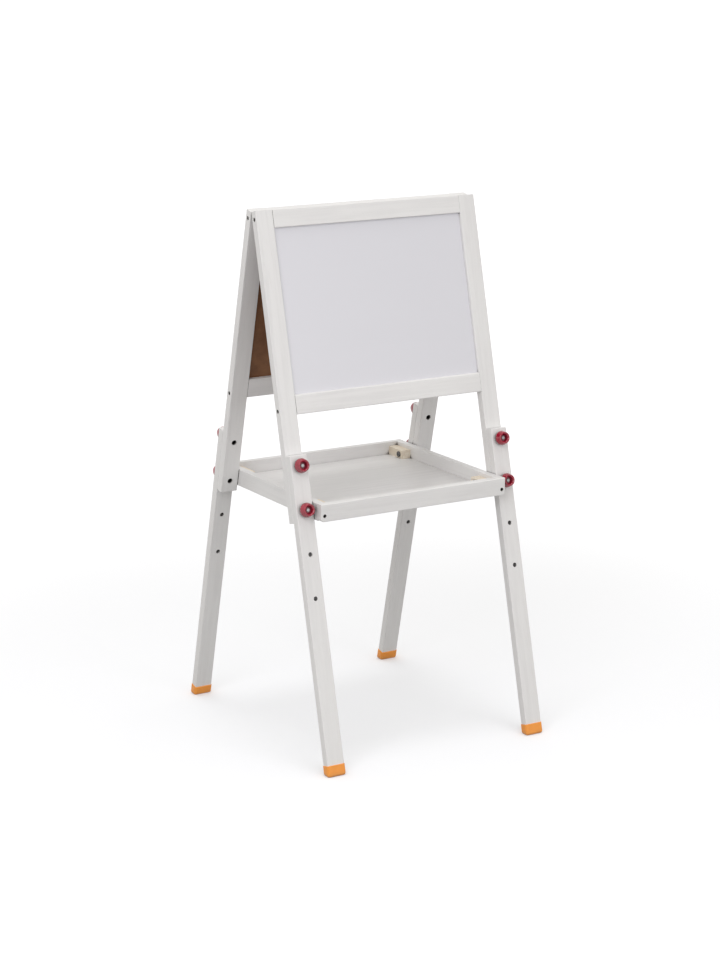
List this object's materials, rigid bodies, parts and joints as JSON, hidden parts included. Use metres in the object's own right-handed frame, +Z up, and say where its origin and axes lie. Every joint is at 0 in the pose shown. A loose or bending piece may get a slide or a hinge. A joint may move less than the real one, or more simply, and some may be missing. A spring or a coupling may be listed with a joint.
{
  "type": "children's easel",
  "caption": "Folding two-sided children's easel of white timber, with a whiteboard and a chalkboard, a tray between the legs, round clamp knobs and foot caps.",
  "frame": {"origin": "on the floor under the middle of the open easel", "axes": "+Z up, the whiteboard faces -Y, the chalkboard faces +Y, +X to the right seen from the whiteboard side"},
  "size_m": [0.5036, 0.5898, 1.065],
  "materials": {
    "white_wood": "painted, satin",
    "pine": "bare",
    "hardboard": "bare, smooth",
    "writing_white": "lacquered, glossy",
    "writing_black": "chalkboard paint, matt",
    "knob_red": "glossy",
    "foot_orange": "satin",
    "steel": "zinc plated"
  },
  "bodies": {
    "front_frame": {"front_stile_left": "white_wood", "front_stile_right": "white_wood", "front_top_rail": "white_wood", "front_bottom_rail": "white_wood", "whiteboard_sheet": "writing_white", "whiteboard_backing": "hardboard", "front_leg_left": "white_wood", "front_leg_right": "white_wood", "front_foot_left": "foot_orange", "front_foot_right": "foot_orange", "front_insert_nuts": "steel", "front_rail_screws": "steel", "front_hinge_leaves": "steel", "front_hinge_screws": "steel", "hinge_pins": "steel"},
    "back_frame": {"back_stile_left": "white_wood", "back_stile_right": "white_wood", "back_top_rail": "white_wood", "back_bottom_rail": "white_wood", "chalkboard_sheet": "writing_black", "chalkboard_backing": "hardboard", "back_leg_left": "white_wood", "back_leg_right": "white_wood", "back_foot_left": "foot_orange", "back_foot_right": "foot_orange", "back_insert_nuts": "steel", "back_rail_screws": "steel", "back_hinge_leaves": "steel", "back_hinge_screws": "steel"},
    "tray": {"tray_front_rail": "white_wood", "tray_back_rail": "white_wood", "tray_side_rail_left": "white_wood", "tray_side_rail_right": "white_wood", "tray_floor": "white_wood", "tray_block_front_left": "pine", "tray_block_front_right": "pine", "tray_block_back_left": "pine", "tray_block_back_right": "pine", "tray_rail_screws": "steel", "tray_pivot_screws": "steel", "tray_rear_screws": "steel"},
    "front_knob_left_upper": {"front_knob_left_upper": "knob_red", "front_stud_left_upper": "steel"},
    "front_knob_left_lower": {"front_knob_left_lower": "knob_red", "front_stud_left_lower": "steel"},
    "front_knob_right_upper": {"front_knob_right_upper": "knob_red", "front_stud_right_upper": "steel"},
    "front_knob_right_lower": {"front_knob_right_lower": "knob_red", "front_stud_right_lower": "steel"},
    "back_knob_left_upper": {"back_knob_left_upper": "knob_red", "back_stud_left_upper": "steel"},
    "back_knob_left_lower": {"back_knob_left_lower": "knob_red", "back_stud_left_lower": "steel"},
    "back_knob_right_upper": {"back_knob_right_upper": "knob_red", "back_stud_right_upper": "steel"},
    "back_knob_right_lower": {"back_knob_right_lower": "knob_red", "back_stud_right_lower": "steel"}
  },
  "joints": [
    {"name": "fold", "type": "hinge", "parent": "front_frame", "child": "back_frame", "pos_m": [0, 0, 1.05034], "axis": [-1, 0, 0], "range_deg": [0, 27.2]},
    {"name": "tray_swing", "type": "hinge", "parent": "front_frame", "child": "tray", "pos_m": [0, -0.14522, 0.50109], "axis": [-1, 0, 0], "range_deg": [0, 103.6]},
    {"name": "front_knob_left_upper_turn", "type": "hinge", "parent": "front_frame", "child": "front_knob_left_upper", "pos_m": [-0.2315, -0.15195, 0.58811], "axis": [0, -0.972, 0.2351], "continuous": true},
    {"name": "front_knob_left_lower_turn", "type": "hinge", "parent": "front_frame", "child": "front_knob_left_lower", "pos_m": [-0.2315, -0.17217, 0.50452], "axis": [0, -0.972, 0.2351], "continuous": true},
    {"name": "front_knob_right_upper_turn", "type": "hinge", "parent": "front_frame", "child": "front_knob_right_upper", "pos_m": [0.2315, -0.15195, 0.58811], "axis": [0, -0.972, 0.2351], "continuous": true},
    {"name": "front_knob_right_lower_turn", "type": "hinge", "parent": "front_frame", "child": "front_knob_right_lower", "pos_m": [0.2315, -0.17217, 0.50452], "axis": [0, -0.972, 0.2351], "continuous": true},
    {"name": "back_knob_left_upper_turn", "type": "hinge", "parent": "back_frame", "child": "back_knob_left_upper", "pos_m": [-0.2315, 0.15195, 0.58811], "axis": [0, 0.972, 0.2351], "continuous": true},
    {"name": "back_knob_left_lower_turn", "type": "hinge", "parent": "back_frame", "child": "back_knob_left_lower", "pos_m": [-0.2315, 0.17217, 0.50452], "axis": [0, 0.972, 0.2351], "continuous": true},
    {"name": "back_knob_right_upper_turn", "type": "hinge", "parent": "back_frame", "child": "back_knob_right_upper", "pos_m": [0.2315, 0.15195, 0.58811], "axis": [0, 0.972, 0.2351], "continuous": true},
    {"name": "back_knob_right_lower_turn", "type": "hinge", "parent": "back_frame", "child": "back_knob_right_lower", "pos_m": [0.2315, 0.17217, 0.50452], "axis": [0, 0.972, 0.2351], "continuous": true}
  ],
  "couplings": [
    {"joint": "tray_swing", "follows": "fold", "ratio": 3.8088}
  ]
}
